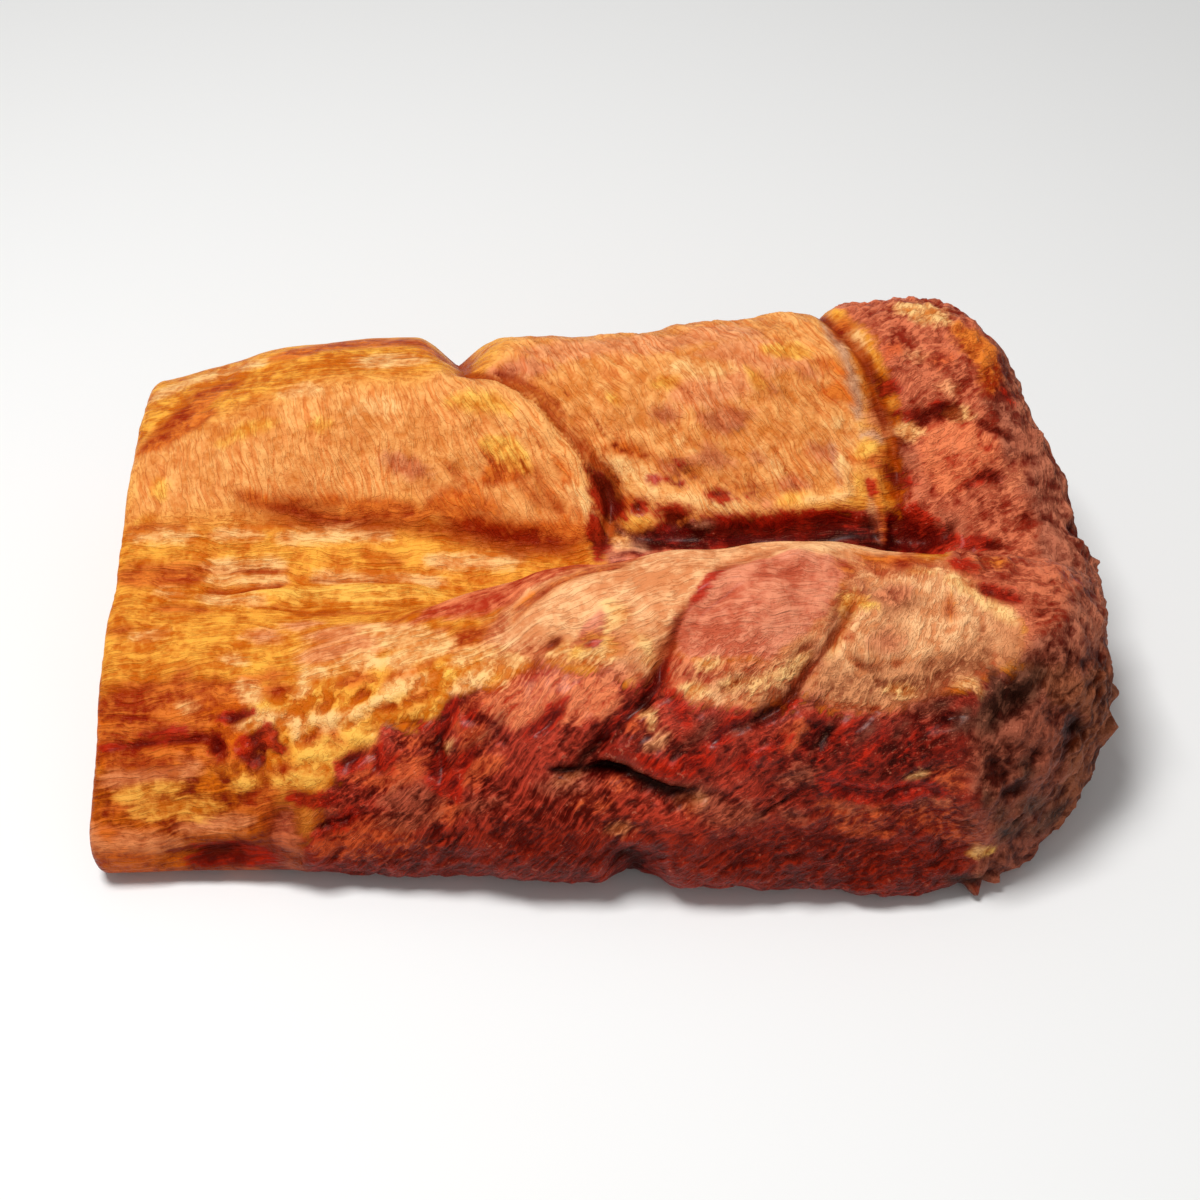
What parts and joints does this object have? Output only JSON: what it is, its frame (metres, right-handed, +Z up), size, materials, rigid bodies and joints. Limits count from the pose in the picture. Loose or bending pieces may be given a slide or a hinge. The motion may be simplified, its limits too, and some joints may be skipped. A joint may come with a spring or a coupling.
{
  "type": "boneless ham",
  "caption": "Boneless smoked ham lying on a flat underside: a golden back lobe and a lean red front lobe with a lengthwise valley between them, a straight cut end and a rough blunt end.",
  "frame": {"origin": "middle of the ham's plan box, on the surface that it rests on", "axes": "+X along the ham from its cut left end to its blunt right end, +Z up; the lean front lobe faces -Y"},
  "size_m": [0.3092, 0.1972, 0.0969],
  "materials": {
    "smoked_meat": "smoked pork, golden amber fat and rind to dark red lean, satin and slightly moist"
  },
  "bodies": {
    "root": {"ham": "smoked_meat"}
  },
  "joints": []
}
